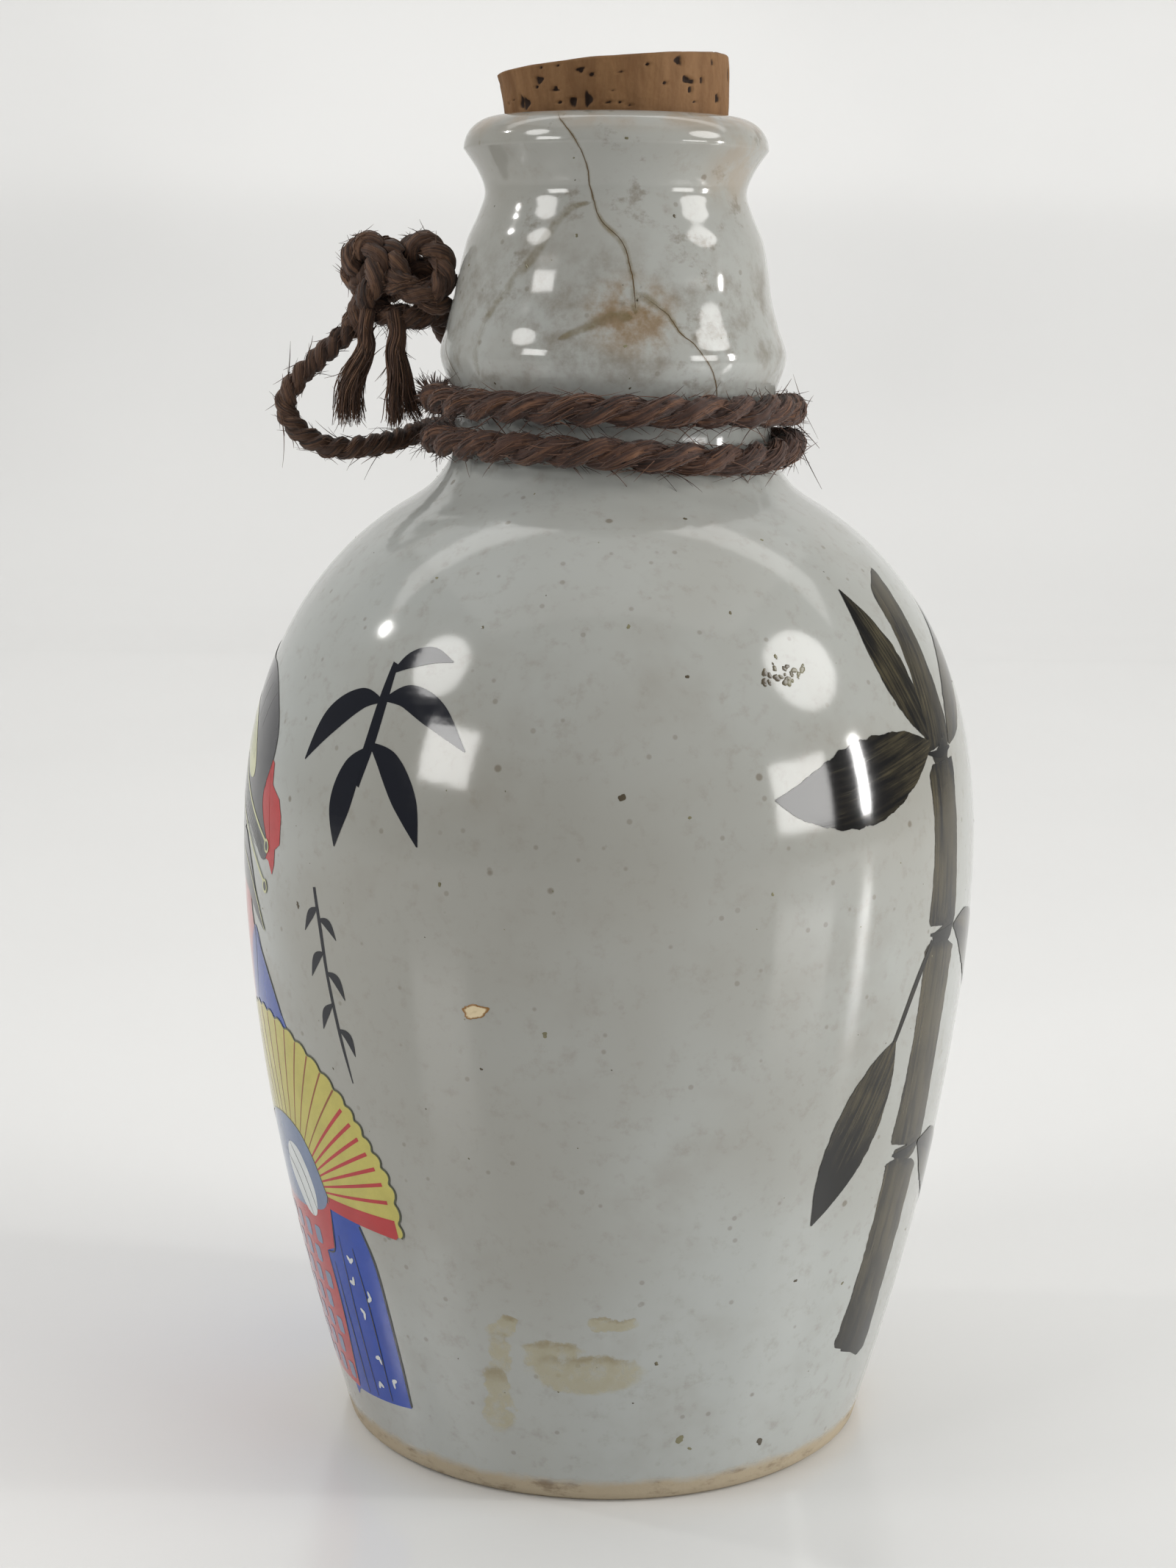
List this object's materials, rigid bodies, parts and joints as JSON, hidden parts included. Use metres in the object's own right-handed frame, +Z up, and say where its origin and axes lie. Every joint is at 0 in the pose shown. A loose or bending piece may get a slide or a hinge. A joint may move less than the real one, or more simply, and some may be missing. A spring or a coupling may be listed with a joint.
{
  "type": "sake bottle",
  "caption": "Glazed stoneware sake bottle with a cork stopper, a palm-fibre rope wound round its neck and a knotted hanging cord.",
  "frame": {"origin": "middle of the foot ring, on the surface that the bottle stands on", "axes": "+Z up along the bottle's axis towards the mouth, -X towards the hanging cord's loop, -Y towards the decorated front"},
  "size_m": [0.11, 0.11, 0.2041],
  "materials": {
    "glaze": "gloss",
    "cork": "matte",
    "palm_rope": "matte",
    "hanging_cord": "matte"
  },
  "bodies": {
    "bottle": {"stoneware_bottle": "glaze"},
    "stopper": {"cork_stopper": "cork"},
    "ropework": {"neck_rope": "palm_rope", "hanging_cord_loop": "hanging_cord", "hanging_cord_back_leg": "hanging_cord", "hanging_cord_knot": "hanging_cord", "hanging_cord_tail_left": "hanging_cord", "hanging_cord_tail_right": "hanging_cord"}
  },
  "joints": [
    {"name": "cork_pull", "type": "slide", "parent": "bottle", "child": "stopper", "axis": [0, 0, 1], "range_m": [0, 0.04]},
    {"name": "rope_swivel", "type": "hinge", "parent": "bottle", "child": "ropework", "pos_m": [0, 0, 0.1515], "axis": [0, 0, 1], "continuous": true}
  ]
}
